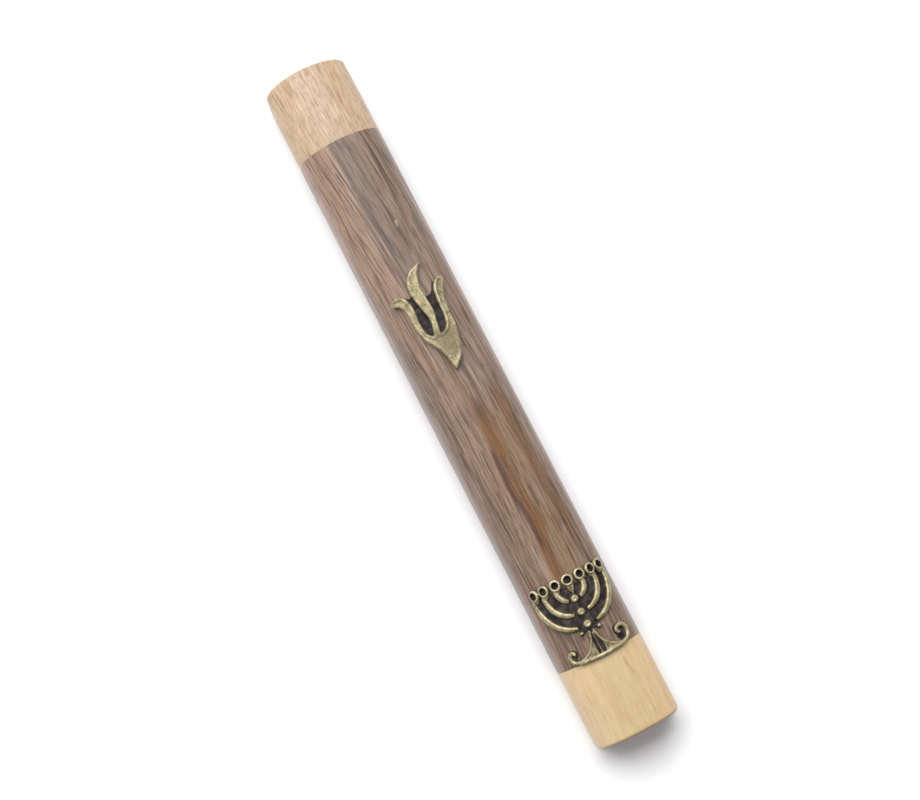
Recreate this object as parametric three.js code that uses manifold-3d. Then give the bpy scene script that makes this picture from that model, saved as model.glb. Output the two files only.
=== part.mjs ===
// Mezuzah case: a loaf-sectioned walnut case with a beech block glued flush on each end, a cast shin and a
// cast menorah on its crowned front, and a rolled scroll in a channel behind, closed by a slip cover.
//
// Millimetres. +Z runs up the case as it hangs and -Y is its front. The origin is on the door post's face,
// behind the middle of the case.
import * as THREE from "three";
import { mergeVertices } from "three/addons/utils/BufferGeometryUtils.js";
import Module from "manifold-3d";

const wasm = await Module();
wasm.setup();

// ---- driving dimensions -------------------------------------------------------------------------------

const LENGTH = 165;
const WIDTH = 19.9;
const DEPTH = 15; // wood only: flat back to the crest of the crown
const CROWN = 8; // height of the half ellipse that makes the front
const END_BLOCK = 18.6;
const END_EASE = 1; // rounding of the outer end edges
const BACK_EASE = 0.5; // chamfer along the back's long edges
const CROWN_STEPS = 24;

const PAD_THICKNESS = 1;
const PAD_WIDTH = 15;
const PAD_HEIGHT = 14;
const PAD_CORNER = 1.5;

const CHANNEL_RADIUS = 5.2;
const CHANNEL_LENGTH = 108;
const CHANNEL_AXIS_DEPTH = 7; // from the wood's back to the axis of the channel's round floor

const COVER_WIDTH = 12.8;
const COVER_LENGTH = 117.7;
const COVER_THICKNESS = 2;
const COVER_CORNER = 3;
const COVER_CLEARANCE = 0.15; // all round, and under the cover
const NOTCH_RADIUS = 2.5; // thumbnail notch in the cover's lower end

const SCROLL_RADIUS = 4.4;
const SCROLL_CORE_RADIUS = 2.4;
const SCROLL_LENGTH = 100;
const SCROLL_REST_GAP = 0.1;

const DOWEL_RADIUS = 2;
const DOWEL_LENGTH = 14;
const DOWEL_X = 4.6;
const DOWEL_DEPTH = 7.6; // from the wood's back
const JOINT_GAP = 0.3; // glue room round dowels and studs

const SHIN_Z = 18; // middle of the shin
const MENORAH_Z = -47.2; // centre of the menorah's branches
const GLUE_LINE = 0.1; // under both castings
const STUD_RADIUS = 0.8;
const STUD_LENGTH = 1.5;

const SHIN_HEIGHT = 1.6;
const WEB_HEIGHT = 0.5; // the thin metal left between the shin's flames
const PLATE_HEIGHT = 0.7; // the menorah's solid backing
const BRANCH_HEIGHT = 1.3;
const CUP_HEIGHT = 1.7;

// ---- derived places -----------------------------------------------------------------------------------

const BACK_Y = -PAD_THICKNESS;
const CREST_Y = BACK_Y - DEPTH;
const SPRING_Y = CREST_Y + CROWN; // where the straight sides meet the half ellipse
const CHANNEL_Y = BACK_Y - CHANNEL_AXIS_DEPTH;
const DOWEL_Y = BACK_Y - DOWEL_DEPTH;
const HALF = LENGTH / 2;
const SEAM = HALF - END_BLOCK; // height of the glue seams above and below the middle
const PAD_Z = SEAM + END_BLOCK / 2;

// ---- materials ----------------------------------------------------------------------------------------

const finish = (color, roughness, metalness = 0) =>
  new THREE.MeshStandardMaterial({ color, roughness, metalness });

const walnut = () => finish(0x9b8070, 0.45);
const beech = (color) => finish(color, 0.5);
const antiqueBrass = () => finish(0xb8ae78, 0.42, 1);

// ---- solids -------------------------------------------------------------------------------------------

function solid(geometry) {
  const bare = geometry.clone();
  bare.deleteAttribute("normal");
  bare.deleteAttribute("uv");
  const merged = mergeVertices(bare, 1e-4);
  return new wasm.Manifold(
    new wasm.Mesh({
      numProp: 3,
      vertProperties: new Float32Array(merged.attributes.position.array),
      triVerts: new Uint32Array(merged.index.array),
    }),
  );
}

function geometryOf(manifold) {
  const { vertProperties, triVerts } = manifold.getMesh();
  const geometry = new THREE.BufferGeometry();
  geometry.setAttribute("position", new THREE.BufferAttribute(vertProperties, 3));
  geometry.setIndex(new THREE.BufferAttribute(triVerts, 1));
  geometry.computeVertexNormals();
  return geometry;
}

const joined = (solids) => solids.reduce((sum, next) => sum.add(next));
const without = (body, cutters) => cutters.reduce((left, cutter) => left.subtract(cutter), body);

function box(width, depth, height, x, y, z) {
  return new THREE.BoxGeometry(width, depth, height).translate(x, y, z);
}

// A round bar along Z.
function bar(radius, length, x, y, z, sides = 24) {
  return new THREE.CylinderGeometry(radius, radius, length, sides)
    .rotateX(Math.PI / 2)
    .translate(x, y, z);
}

// An outline drawn in front view (x, z), made solid from backY forwards.
function facing(shape, backY, thickness, steps = 8) {
  return new THREE.ExtrudeGeometry(shape, {
    depth: thickness,
    bevelEnabled: false,
    curveSegments: steps,
  })
    .rotateX(Math.PI / 2)
    .translate(0, backY, 0);
}

// ---- the case's section and the crown it carries ------------------------------------------------------

// A point of the crown, raised by height along the surface's normal. angle is 0 at the crest.
function crownPoint(angle, height) {
  const halfWidth = WIDTH / 2;
  const normal = new THREE.Vector2(CROWN * Math.sin(angle), -halfWidth * Math.cos(angle)).normalize();
  return new THREE.Vector2(halfWidth * Math.sin(angle), SPRING_Y - CROWN * Math.cos(angle)).addScaledVector(
    normal,
    height,
  );
}

function crownLine(height, from = -Math.PI / 2, to = Math.PI / 2, steps = CROWN_STEPS) {
  const points = [];
  for (let i = 0; i <= steps; i++) points.push(crownPoint(from + ((to - from) * i) / steps, height));
  return points;
}

function caseSection(inset) {
  const side = WIDTH / 2 - inset;
  const back = BACK_Y - inset;
  return new THREE.Shape([
    ...crownLine(-inset),
    new THREE.Vector2(side, back - BACK_EASE),
    new THREE.Vector2(side - BACK_EASE, back),
    new THREE.Vector2(-side + BACK_EASE, back),
    new THREE.Vector2(-side, back - BACK_EASE),
  ]);
}

// A layer of metal that follows the crown, from the glue line up to the given height.
function crownShell(height, bottom, top) {
  const sweep = (75 * Math.PI) / 180;
  const steps = 20;
  const outline = new THREE.Shape([
    ...crownLine(GLUE_LINE, -sweep, sweep, steps),
    ...crownLine(height, -sweep, sweep, steps).reverse(),
  ]);
  return new THREE.ExtrudeGeometry(outline, { depth: top - bottom, bevelEnabled: false }).translate(
    0,
    0,
    bottom,
  );
}

// ---- case ---------------------------------------------------------------------------------------------

function roundedRectangle(width, height, radius) {
  const x = width / 2 - radius;
  const z = height / 2 - radius;
  const shape = new THREE.Shape();
  shape.absarc(x, -z, radius, -Math.PI / 2, 0);
  shape.absarc(x, z, radius, 0, Math.PI / 2);
  shape.absarc(-x, z, radius, Math.PI / 2, Math.PI);
  shape.absarc(-x, -z, radius, Math.PI, 1.5 * Math.PI);
  return shape;
}

const dowelSeats = (side) => [-DOWEL_X, DOWEL_X].map((x) => [x, DOWEL_Y, side * SEAM]);

const dowelBores = (side) =>
  dowelSeats(side).map((seat) => solid(bar(DOWEL_RADIUS + JOINT_GAP, DOWEL_LENGTH + 2 * JOINT_GAP, ...seat)));

// Where the studs behind the castings enter the crown, as heights up the case's centre line.
const SHIN_STUDS = [SHIN_Z - 7, SHIN_Z + 8];
const MENORAH_STUDS = [MENORAH_Z - 12.5, MENORAH_Z - 3.4];

function stud(z, radius, sink) {
  const length = sink + 2 * GLUE_LINE;
  return solid(
    new THREE.CylinderGeometry(radius, radius, length, 12).translate(0, CREST_Y + sink - length / 2, z),
  );
}

const studBores = () =>
  [...SHIN_STUDS, ...MENORAH_STUDS].map((z) => stud(z, STUD_RADIUS + JOINT_GAP, STUD_LENGTH + JOINT_GAP));

function walnutBody() {
  const length = { depth: 2 * SEAM, bevelEnabled: false };
  const blank = solid(new THREE.ExtrudeGeometry(caseSection(0), length).translate(0, 0, -SEAM));
  const openDepth = BACK_Y + 1 - CHANNEL_Y;
  const rebate = roundedRectangle(
    COVER_WIDTH + 2 * COVER_CLEARANCE,
    COVER_LENGTH + 2 * COVER_CLEARANCE,
    COVER_CORNER,
  );
  return without(blank, [
    solid(bar(CHANNEL_RADIUS, CHANNEL_LENGTH, 0, CHANNEL_Y, 0, 32)),
    solid(box(2 * CHANNEL_RADIUS, openDepth, CHANNEL_LENGTH, 0, CHANNEL_Y + openDepth / 2, 0)),
    solid(facing(rebate, BACK_Y + 1, COVER_THICKNESS + COVER_CLEARANCE + 1)),
    ...dowelBores(1),
    ...dowelBores(-1),
    ...studBores(),
  ]);
}

// side is 1 for the upper block and -1 for the lower one.
function endBlock(side) {
  const eased = new THREE.ExtrudeGeometry(caseSection(END_EASE), {
    depth: END_BLOCK - END_EASE,
    bevelThickness: END_EASE,
    bevelSize: END_EASE,
    bevelSegments: 3,
  });
  const outward = eased.translate(0, 0, SEAM).scale(1, 1, side);
  const upright = side > 0 ? outward : flipped(outward);
  const spare = box(2 * WIDTH, 3 * DEPTH, END_BLOCK, 0, SPRING_Y, side * (SEAM - END_BLOCK / 2));
  return without(solid(upright), [solid(spare), ...dowelBores(side)]);
}

// Turns each triangle of an unindexed geometry round, after a mirroring scale.
function flipped(geometry) {
  const { array } = geometry.attributes.position;
  for (let i = 0; i < array.length; i += 9)
    for (let k = 3; k < 6; k++) [array[i + k], array[i + k + 3]] = [array[i + k + 3], array[i + k]];
  return geometry;
}

function backCover() {
  const outline = roundedRectangle(COVER_WIDTH, COVER_LENGTH, COVER_CORNER - COVER_CLEARANCE);
  const slip = solid(facing(outline, BACK_Y, COVER_THICKNESS));
  const notch = new THREE.CylinderGeometry(NOTCH_RADIUS, NOTCH_RADIUS, 3 * COVER_THICKNESS, 24);
  return slip.subtract(solid(notch.translate(0, BACK_Y - COVER_THICKNESS / 2, -COVER_LENGTH / 2)));
}

// ---- the rolled scroll, standing on the channel's lower end -------------------------------------------

function scroll() {
  const [inner, outer, length] = [SCROLL_CORE_RADIUS, SCROLL_RADIUS, SCROLL_LENGTH];
  const profile = [
    [inner, 0],
    [outer, 0],
    [outer, length],
    [inner, length],
    [inner, 0],
  ].map(([r, h]) => new THREE.Vector2(r, h));
  return new THREE.LatheGeometry(profile, 32)
    .rotateX(Math.PI / 2)
    .translate(0, CHANNEL_Y, SCROLL_REST_GAP - CHANNEL_LENGTH / 2);
}

// ---- shin: three flames on one body -------------------------------------------------------------------

const through = (pairs) => pairs.map(([x, z]) => new THREE.Vector2(x, z));

// The outline's smooth stretches between its sharp corners, clockwise from the lower tip.
const SHIN_TIP = [0.1, -12.7];
const SHIN_STRETCHES = [
  [[-0.4, -10.6], [-1.1, -7.6], [-2.3, -5.2], [-3.1, -3.3], [-3.7, -0.2]],
  [[-3.8, 3.4], [-4.4, 5.2], [-5.6, 6.1]],
  [[-5.9, 6.5], [-5.7, 6.9]],
  [[-4.6, 7.6], [-3.3, 7.2], [-2.4, 5.6], [-2.1, 3], [-2.3, -0.4], [-2, -2.6], [-1, -3.9]],
  [[-0.3, -0.6], [-0.8, 2.5], [-1.4, 6.1], [-1.2, 8.9], [0.2, 11.3], [3.4, 12.8]],
  [[2.3, 11.3], [1.5, 9.4], [1.1, 7], [1.3, 3.8], [1.4, 1.2], [1, -1], [0.6, -4]],
  [[2, -3.1], [2.7, -0.8], [2.9, 2.4], [3.2, 5.2], [3.9, 7.1], [5, 7.9], [5.8, 7.8]],
  [[6.1, 7.5], [6, 7]],
  [[5.2, 5.2], [4.6, 3.2], [4.2, 0], [4.1, -3.5], [3.4, -7.1], [2.4, -10], SHIN_TIP],
];

function shinOutline() {
  const shape = new THREE.Shape();
  shape.moveTo(...SHIN_TIP);
  for (const stretch of SHIN_STRETCHES) shape.splineThru(through(stretch));
  return shape;
}

// The two webs between the flames, wide enough to run in under them.
const SHIN_WEBS = [
  [[-3, 6.4], [-1.1, 6.8], [-0.1, -0.6], [-0.3, -4], [-1.4, -4.6], [-2.6, -2.6]],
  [[0.9, 4.8], [3.7, 7], [3.2, -0.6], [2.2, -3.6], [1.2, -4.8], [0.4, -4], [0.9, -0.6]],
];

// Solid metal under a front-view outline, as high as given, following the crown.
function casting(shape, z, height, steps) {
  const spread = 20;
  const prism = solid(facing(shape, BACK_Y, 2 * DEPTH, steps).translate(0, 0, z));
  return prism.intersect(solid(crownShell(height, z - spread, z + spread)));
}

function shinEmblem() {
  return joined([
    casting(shinOutline(), SHIN_Z, SHIN_HEIGHT, 4),
    ...SHIN_WEBS.map((corners) => casting(new THREE.Shape(through(corners)), SHIN_Z, WEB_HEIGHT, 4)),
    ...SHIN_STUDS.map((z) => stud(z, STUD_RADIUS, STUD_LENGTH)),
  ]);
}

// ---- menorah: seven cups on three nested branches and a stem, with a curled foot ----------------------

// The casting is hand-made: its cups stand a little to the right of its stem.
const BRANCHES = [
  { left: 3, right: 3.2, drop: 3.65, leftCup: -2.4, rightCup: 3, cupRadius: 1.15 },
  { left: 5.6, right: 5.8, drop: 6.7, leftCup: -4.9, rightCup: 5.4, cupRadius: 1.1 },
  { left: 7.7, right: 8, drop: 9.7, leftCup: -6.9, rightCup: 7.3, cupRadius: 1 },
];
const BRANCH_FULLNESS = 2.4; // 2 would be an ellipse, more is squarer
const BRANCH_WIDTH = 1.3;
const STEM_WIDTH = 1.3;
const CUP_Z = 0.9;
const MIDDLE_CUP = { x: 0.3, radius: 1.2 };
const CUP_RISE = 1.25; // from a cup's centre to its top
const CUP_WALL = 0.45;
const BOSSES = [-3.4, -6.5, -9.4];
const BOSS_RADIUS = 0.95;
const BEAD = { x: 1.95, z: -10.8, radius: 0.6 };
const FOOT_TOP_Z = -10.5;
const FOOT_Z = -16.2;
const FOOT_REACH = 5.2;

// A band of even width along a line of points.
function band(points, width) {
  const edge = (offset) =>
    points.map((point, i) => {
      const ahead = points[Math.min(i + 1, points.length - 1)];
      const behind = points[Math.max(i - 1, 0)];
      const along = ahead.clone().sub(behind).normalize();
      return new THREE.Vector2(point.x - along.y * offset, point.y + along.x * offset);
    });
  return new THREE.Shape([...edge(-width / 2), ...edge(width / 2).reverse()]);
}

// The lower half of a branch, from its left end to its right.
function bowl({ left, right, drop }, steps = 24) {
  const power = 2 / BRANCH_FULLNESS;
  const points = [];
  for (let i = 0; i <= steps; i++) {
    const angle = (Math.PI * i) / steps;
    const reach = 2 * i < steps ? -left : right;
    const across = reach * Math.abs(Math.cos(angle)) ** power;
    points.push(new THREE.Vector2(across, -drop * Math.sin(angle) ** power));
  }
  return points;
}

function disc(x, z, rx, rz = rx) {
  const shape = new THREE.Shape();
  shape.absellipse(x, z, rx, rz, 0, 2 * Math.PI);
  return shape;
}

// A cup's rim lies on the crown, so in front view it narrows towards the case's sides.
function cup(x, radius) {
  const angle = Math.asin((2 * x) / WIDTH);
  const narrowing = Math.cos(Math.atan2(CROWN * Math.sin(angle), (WIDTH / 2) * Math.cos(angle)));
  const shape = disc(x, CUP_Z, radius * narrowing, CUP_RISE);
  shape.holes.push(disc(x, CUP_Z, (radius - CUP_WALL) * narrowing, CUP_RISE - CUP_WALL));
  return shape;
}

function foot() {
  const shape = new THREE.Shape();
  shape.moveTo(-0.6, FOOT_TOP_Z);
  shape.splineThru(through([[-0.8, -12.4], [-1.4, -14], [-2.6, -15.1], [-FOOT_REACH, -15.7]]));
  shape.lineTo(-FOOT_REACH, FOOT_Z);
  shape.quadraticCurveTo(0, FOOT_Z - 1, FOOT_REACH, FOOT_Z);
  shape.lineTo(FOOT_REACH, -15.7);
  shape.splineThru(through([[2.6, -15.1], [1.4, -14], [0.8, -12.4], [0.6, FOOT_TOP_Z]]));
  return shape;
}

// The two ends of the foot curl up and in. The right-hand curl is the larger.
const CURL_WIDTH = 0.85;
const LEFT_CURL = [[-4.8, -16.1], [-5.7, -15.9], [-6.2, -15.2], [-6.2, -14.3], [-5.8, -13.7], [-5.1, -14]];
const RIGHT_CURL = [[4.9, -16.2], [6.1, -15.8], [6.7, -14.7], [6.6, -13.5], [5.9, -12.7], [4.8, -13.2]];
const curl = (pairs) => band(new THREE.SplineCurve(through(pairs)).getPoints(18), CURL_WIDTH);

function menorahEmblem() {
  const cups = [cup(MIDDLE_CUP.x, MIDDLE_CUP.radius)];
  for (const { leftCup, rightCup, cupRadius } of BRANCHES) {
    cups.push(cup(leftCup, cupRadius), cup(rightCup, cupRadius));
  }
  const backing = new THREE.Shape(bowl(BRANCHES[BRANCHES.length - 1]));
  const layers = [
    [PLATE_HEIGHT, [backing, disc(0, -10.3, 2.5, 1.1)]],
    [
      BRANCH_HEIGHT,
      [
        ...BRANCHES.map((branch) => band(bowl(branch), BRANCH_WIDTH)),
        band(through([[0, FOOT_TOP_Z - 0.5], [0, 0.2]]), STEM_WIDTH),
        foot(),
        curl(LEFT_CURL),
        curl(RIGHT_CURL),
      ],
    ],
    [
      CUP_HEIGHT,
      [
        ...cups,
        ...BOSSES.map((z) => disc(0, z, BOSS_RADIUS)),
        disc(-BEAD.x, BEAD.z, BEAD.radius),
        disc(BEAD.x, BEAD.z, BEAD.radius),
      ],
    ],
  ];
  const castings = layers.flatMap(([height, shapes]) =>
    shapes.map((shape) => casting(shape, MENORAH_Z, height, 6)),
  );
  return joined([...castings, ...MENORAH_STUDS.map((z) => stud(z, STUD_RADIUS, STUD_LENGTH))]);
}

// ---- assembly -----------------------------------------------------------------------------------------

const mezuzahCase = new THREE.Group();

function add(name, geometry, material) {
  const mesh = new THREE.Mesh(geometry, material);
  mesh.name = name;
  mezuzahCase.add(mesh);
}

add("walnut_body", geometryOf(walnutBody()), walnut());
add("top_end_block", geometryOf(endBlock(1)), beech(0xdec4a3));
add("bottom_end_block", geometryOf(endBlock(-1)), beech(0xdec89b));

for (const [end, side] of [["top", 1], ["bottom", -1]])
  dowelSeats(side).forEach((seat, i) => {
    add(`${end}_dowel_${["left", "right"][i]}`, bar(DOWEL_RADIUS, DOWEL_LENGTH, ...seat), beech(0xd9bd90));
  });

add("back_cover", geometryOf(backCover()), walnut());
add("scroll", scroll(), finish(0xe6dcc0, 0.8));
add("shin_emblem", geometryOf(shinEmblem()), antiqueBrass());
add("menorah_emblem", geometryOf(menorahEmblem()), antiqueBrass());

for (const [end, side] of [["upper", 1], ["lower", -1]]) {
  const pad = facing(roundedRectangle(PAD_WIDTH, PAD_HEIGHT, PAD_CORNER), 0, PAD_THICKNESS);
  add(`${end}_adhesive_pad`, pad.translate(0, 0, side * PAD_Z), finish(0xe9e9e4, 0.9));
}

export default mezuzahCase;
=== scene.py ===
"""Looks of the wooden mezuzah case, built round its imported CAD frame.

The frame is in metres: +Z up the case as it hangs, -Y its front, the door post's face at y = 0.
Shapes are worked out in millimetres and scaled by MM when a mesh is made.
"""

import math

import bmesh
import bpy
import numpy as np
from mathutils import Matrix, Vector


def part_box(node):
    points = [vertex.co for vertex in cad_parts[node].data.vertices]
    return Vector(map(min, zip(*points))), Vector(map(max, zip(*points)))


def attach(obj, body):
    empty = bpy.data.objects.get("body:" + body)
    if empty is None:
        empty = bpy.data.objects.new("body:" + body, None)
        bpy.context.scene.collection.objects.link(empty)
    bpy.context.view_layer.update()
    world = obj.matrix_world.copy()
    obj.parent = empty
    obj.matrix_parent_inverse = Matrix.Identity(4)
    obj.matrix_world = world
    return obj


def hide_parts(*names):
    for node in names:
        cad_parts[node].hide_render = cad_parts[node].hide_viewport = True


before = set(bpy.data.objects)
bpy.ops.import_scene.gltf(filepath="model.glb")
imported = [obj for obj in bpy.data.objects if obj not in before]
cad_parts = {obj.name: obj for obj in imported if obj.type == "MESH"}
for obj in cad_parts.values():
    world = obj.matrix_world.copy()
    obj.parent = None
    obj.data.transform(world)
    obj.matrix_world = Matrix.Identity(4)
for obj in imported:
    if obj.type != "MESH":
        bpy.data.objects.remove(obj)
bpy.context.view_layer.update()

MM = 0.001


def box_mm(node):
    low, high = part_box(node)
    return low / MM, high / MM


# ---- driving dimensions, in millimetres ---------------------------------------------------------

BODY_LOW, BODY_HIGH = box_mm("walnut_body")
HALF_WIDTH = BODY_HIGH.x
CREST_Y = BODY_LOW.y
BACK_Y = BODY_HIGH.y
SEAM = BODY_HIGH.z
CROWN = 8.0  # height of the front's half ellipse
SPRING_Y = CREST_Y + CROWN
END_TOP = box_mm("top_end_block")[1].z
BACK_ROUND = 0.5
END_ROUND = 1.0
SHIN_Z = 18.0
MENORAH_Z = -47.2
GLUE_LINE = 0.05


# ---- camera: above the front, a little low and left of the middle, rolled so that the case leans ----

CAMERA_AT = Vector((-24.9, -355.7, -38.3)) * MM
CAMERA_AIM = Vector((-1.89, -8.8, -0.12)) * MM
CAMERA_ROLL = math.radians(27.22)
CAMERA_LENS = 61.1

camera_data = bpy.data.cameras.new("camera")
camera_data.lens = CAMERA_LENS
camera_data.clip_start = 0.01
camera_data.clip_end = 10
camera = bpy.data.objects.new("camera", camera_data)
bpy.context.scene.collection.objects.link(camera)
camera.location = CAMERA_AT
aim = (CAMERA_AIM - CAMERA_AT).to_track_quat("-Z", "Y")
camera.rotation_mode = "QUATERNION"
camera.rotation_quaternion = aim @ Matrix.Rotation(-CAMERA_ROLL, 3, "Z").to_quaternion()
bpy.context.scene.camera = camera


# ---- node materials -----------------------------------------------------------------------------

def srgb(red, green, blue):
    """A colour given as it looks on screen, 0 to 255, for a shader."""
    def linear(value):
        value /= 255
        return value / 12.92 if value <= 0.04045 else ((value + 0.055) / 1.055) ** 2.4
    return (linear(red), linear(green), linear(blue), 1.0)


class Shade:
    """One Principled material and short ways to add nodes to it."""

    def __init__(self, name, **sockets):
        self.material = bpy.data.materials.new(name)
        self.material.use_nodes = True
        self.tree = self.material.node_tree
        self.shader = self.tree.nodes["Principled BSDF"]
        for socket, value in sockets.items():
            self.shader.inputs[socket.replace("_", " ")].default_value = value
        self.place = self.node("ShaderNodeTexCoord").outputs["Object"]

    def node(self, kind, inputs=None, **settings):
        made = self.tree.nodes.new(kind)
        for key, value in settings.items():
            setattr(made, key, value)
        for key, value in (inputs or {}).items():
            self.feed(made.inputs[key], value)
        return made

    def feed(self, socket, value):
        if isinstance(value, bpy.types.NodeSocket):
            self.tree.links.new(value, socket)
        else:
            socket.default_value = value

    def math(self, operation, a, b=0.0, clamp=False):
        made = self.node("ShaderNodeMath", {0: a, 1: b}, operation=operation, use_clamp=clamp)
        return made.outputs[0]

    def add(self, a, b, clamp=False):
        return self.math("ADD", a, b, clamp)

    def less(self, a, b):
        return self.math("SUBTRACT", a, b)

    def times(self, a, b):
        return self.math("MULTIPLY", a, b)

    def size_of(self, a):
        return self.math("ABSOLUTE", a)

    def stretched(self, across, deep, along, offset=0.0):
        """Object coordinates in which one unit is that many millimetres along each axis."""
        scale = (1 / (across * MM), 1 / (deep * MM), 1 / (along * MM))
        made = self.node("ShaderNodeMapping", {"Vector": self.place, "Scale": scale})
        made.inputs["Location"].default_value = (offset, offset * 0.7, offset * 1.3)
        return made.outputs[0]

    def noise(self, vector, detail=3.0, rough=0.5):
        inputs = {"Vector": vector, "Scale": 1.0, "Detail": detail, "Roughness": rough}
        return self.node("ShaderNodeTexNoise", inputs).outputs["Fac"]

    def ramp(self, value, *stops):
        made = self.node("ShaderNodeValToRGB", {"Fac": value})
        ramp = made.color_ramp
        while len(ramp.elements) < len(stops):
            ramp.elements.new(1.0)
        for element, (position, colour) in zip(ramp.elements, stops):
            element.position = position
            element.color = colour if len(colour) == 4 else (*colour, 1.0)
        return made.outputs["Color"]

    def step(self, value, low, high):
        """0 below low, 1 above high, smooth between."""
        inputs = {"Value": value, "From Min": low, "From Max": high}
        made = self.node("ShaderNodeMapRange", inputs, interpolation_type="SMOOTHSTEP")
        return made.outputs["Result"]

    def mix(self, share, a, b):
        made = self.node("ShaderNodeMix", data_type="RGBA")
        self.feed(made.inputs["Factor"], share)
        self.feed(made.inputs[6], a)
        self.feed(made.inputs[7], b)
        return made.outputs[2]

    def attribute(self, name):
        return self.node("ShaderNodeAttribute", attribute_name=name).outputs["Fac"]

    def bump(self, height, depth_mm, strength=1.0):
        inputs = {"Height": height, "Distance": depth_mm * MM, "Strength": strength}
        self.feed(self.shader.inputs["Normal"], self.node("ShaderNodeBump", inputs).outputs[0])

    def colour(self, value):
        self.feed(self.shader.inputs["Base Color"], value)

    def rough(self, value):
        self.feed(self.shader.inputs["Roughness"], value)


RING_FAN = 0.05  # how much closer together the growth rings lie, as a share, per mm behind the crest
RING_SHIVER = 0.5  # mm
COURSE_WAVER = 0.7  # mm
FIGURE_TALL, FIGURE_WIDE = 160, 20  # mm of the front in which a course can be drawn


class Grain(Shade):
    """Varnished wood whose growth rings stand on edge in the front and draw together toward the back.

    The drift, in millimetres sideways per millimetre up the case, makes the rings run a little aslant,
    and bend makes that slant change on the way up.
    """

    def __init__(self, name, drift=0.0, bend=0.0, wander=2.0, seed=0.0):
        super().__init__(name, Coat_Weight=0.15, Coat_Roughness=0.35, Specular_IOR_Level=0.3)
        self.seed = seed
        spot = self.node("ShaderNodeSeparateXYZ", {0: self.stretched(1, 1, 1)}).outputs
        self.x, self.y, self.z = spot
        fan = self.add(self.times(self.y, RING_FAN), 1 - RING_FAN * CREST_Y)
        slope = self.add(self.times(self.z, bend), drift)
        stray = self.noise(self.stretched(16, 16, 110, seed + 1), detail=1)
        shiver = self.noise(self.stretched(5, 5, 40, seed + 2), detail=0)
        ring = self.add(self.times(self.x, fan), self.times(self.z, slope))
        ring = self.add(ring, self.times(stray, wander))
        self.ring = self.add(ring, self.times(shiver, RING_SHIVER))

    def along_rings(self, across, round_ring, along, offset):
        """Coordinates that follow the rings; one unit is that many millimetres."""
        shift = self.seed + offset
        axes = ((self.ring, across), (self.y, round_ring), (self.z, along))
        parts = [self.add(self.times(value, 1 / size), shift) for value, size in axes]
        return self.node("ShaderNodeCombineXYZ", dict(enumerate(parts))).outputs[0]

    def window(self, value, low, high, blur):
        """1 between low and high, fading to 0 over blur outside them."""
        rise = self.step(value, low - blur, low)
        fall = self.step(value, high, high + blur)
        return self.times(rise, self.less(1.0, fall))

    def course(self, points):
        """The x of something that wanders up the front, from its (z, x) points, bottom first."""
        made = self.node("ShaderNodeFloatCurve")
        made.mapping.extend = "HORIZONTAL"
        curve = made.mapping.curves[0]
        while len(curve.points) < len(points):
            curve.points.new(0.5, 0.5)
        for handle, (z, x) in zip(curve.points, points):
            handle.location = (z / FIGURE_TALL + 0.5, x / FIGURE_WIDE + 0.5)
        made.mapping.update()
        self.feed(made.inputs["Value"], self.add(self.times(self.z, 1 / FIGURE_TALL), 0.5))
        found = self.times(self.less(made.outputs[0], 0.5), FIGURE_WIDE)
        waver = self.less(self.noise(self.stretched(30, 30, 5, self.seed + 9), detail=2), 0.5)
        return self.add(found, self.times(waver, COURSE_WAVER))

    def streak(self, points, half_width, blur, soft=0.5):
        """1 within about half_width of a course, and fading out over blur beyond its two ends."""
        off = self.size_of(self.less(self.x, self.course(points)))
        swell = self.noise(self.stretched(40, 40, 7, self.seed + 12), detail=1)
        off = self.math("DIVIDE", off, self.add(swell, 0.5))
        outside = self.step(off, half_width * (1 - soft), half_width * (1 + soft))
        between_ends = self.window(self.z, points[0][0], points[-1][0], blur)
        return self.times(self.less(1.0, outside), between_ends)

    def between(self, left, right, blur, soft=0.4):
        """1 between two courses of the same height."""
        inside = self.step(self.less(self.x, self.course(left)), -soft, soft)
        beyond = self.step(self.less(self.x, self.course(right)), -soft, soft)
        band = self.times(inside, self.less(1.0, beyond))
        return self.times(band, self.window(self.z, left[0][0], left[-1][0], blur))

    def tint(self, wood, share, strength, *colour):
        """The wood with that colour, 0 to 255, laid over it by share times strength."""
        return self.mix(self.times(share, strength), wood, srgb(*colour))


# The walnut's figure, as (z, x) places in its front from the lowest to the highest.
SPEAR_LEFT = ((33, 0.6), (38.5, -0.1), (41, -0.8), (46, -1.4), (55, -1.8), (64, -2.3))
SPEAR_RIGHT = ((33, 2.2), (38, 4.2), (42, 3.7), (46, 3.0), (50, 3.7), (64, 2.6))
SPEAR_VEIN = ((44, 2.6), (50, 1.9), (55, 1.5), (63, 0.8))
SPEAR_TAIL = ((37, 3.1), (40, 2.7), (46, 2.4))
DARK_VEIN = ((37, 5.6), (44, 5.4), (50, 5.6), (58, 5.7))
GOLD = ((-44, -0.8), (-38, -0.5), (-30, 0.5), (-24, -0.2), (-15, 0.15), (-6, 0.3))
GOLD_VEIN = ((-36, -0.9), (-29, -0.8), (-24, -1.6), (-16, -1.3))
SIDE_GOLD = ((-38, 6.2), (-28, 6.2), (-20, 5.9), (-10, 5.7), (-3, 5.6))
LEFT_THREAD = ((-14, -0.4), (-4, -0.8), (6, -1.0))
RIGHT_THREAD = ((-16, 2.1), (-6, 2.0), (3, 1.8))
DARK_COMB = ((30, -1.8), (45, -2.7), (58, -4.2))
PALE_NICK = ((40.3, 2.8), (40.9, 3.0), (41.5, 3.1))
TAN = ((-46, 2.6), (-30, 2.7), (-18, 2.6), (-8, 2.2))

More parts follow.
